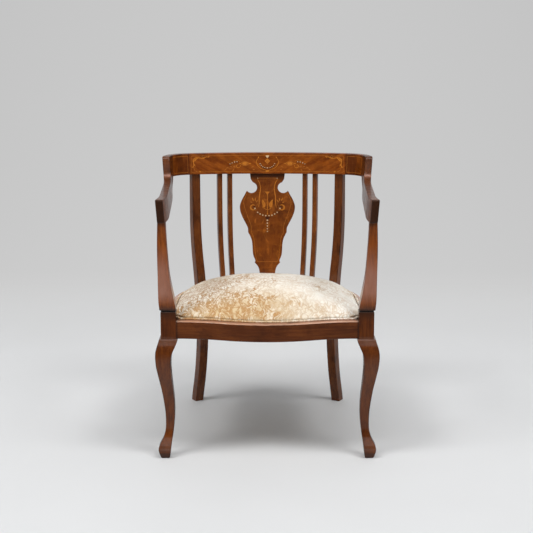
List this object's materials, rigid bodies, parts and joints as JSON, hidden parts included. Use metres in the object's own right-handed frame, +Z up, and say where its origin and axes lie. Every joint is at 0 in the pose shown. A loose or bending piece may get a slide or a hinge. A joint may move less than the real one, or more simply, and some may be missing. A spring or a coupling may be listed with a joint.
{
  "type": "armchair",
  "caption": "Horseshoe-backed wooden armchair with an inlaid crest rail flowing into swan-neck arms, a vase splat between square sticks, cabriole front legs and a domed velvet seat.",
  "frame": {"origin": "on the floor, in the middle of the chair's width and depth", "axes": "+X to the right of someone who looks at the chair from the front, +Y from the front to the back of the chair, +Z up"},
  "size_m": [0.6094, 0.6016, 0.757],
  "materials": {
    "mahogany": "french polished mahogany",
    "veneer": "french polished flame mahogany veneer with light wood inlay",
    "beech": "plain sawn beech",
    "velvet": "crushed velvet",
    "jute": "woven jute",
    "steel": "dull steel"
  },
  "bodies": {
    "root": {"front_leg_left": "mahogany", "front_leg_right": "mahogany", "back_post_left": "mahogany", "back_post_right": "mahogany", "front_seat_rail": "mahogany", "side_seat_rail_left": "mahogany", "side_seat_rail_right": "mahogany", "back_seat_rail": "mahogany", "corner_blocks": "beech", "arm_support_left": "mahogany", "arm_support_right": "mahogany", "support_dowels": "beech", "arm_left": "mahogany", "arm_right": "mahogany", "arm_dowels": "beech", "crest_return_left": "veneer", "crest_return_right": "veneer", "crest_rail": "veneer", "crest_dowels": "beech", "splat": "veneer", "stick_left_outer": "mahogany", "stick_left_inner": "mahogany", "stick_right_inner": "mahogany", "stick_right_outer": "mahogany", "webbing_lengthwise": "jute", "webbing_crosswise": "jute", "webbing_tacks": "steel", "seat_springs": "steel", "seat_hessian": "jute", "seat_stuffing": "jute", "seat_cover": "velvet", "seat_piping": "velvet"}
  },
  "joints": []
}
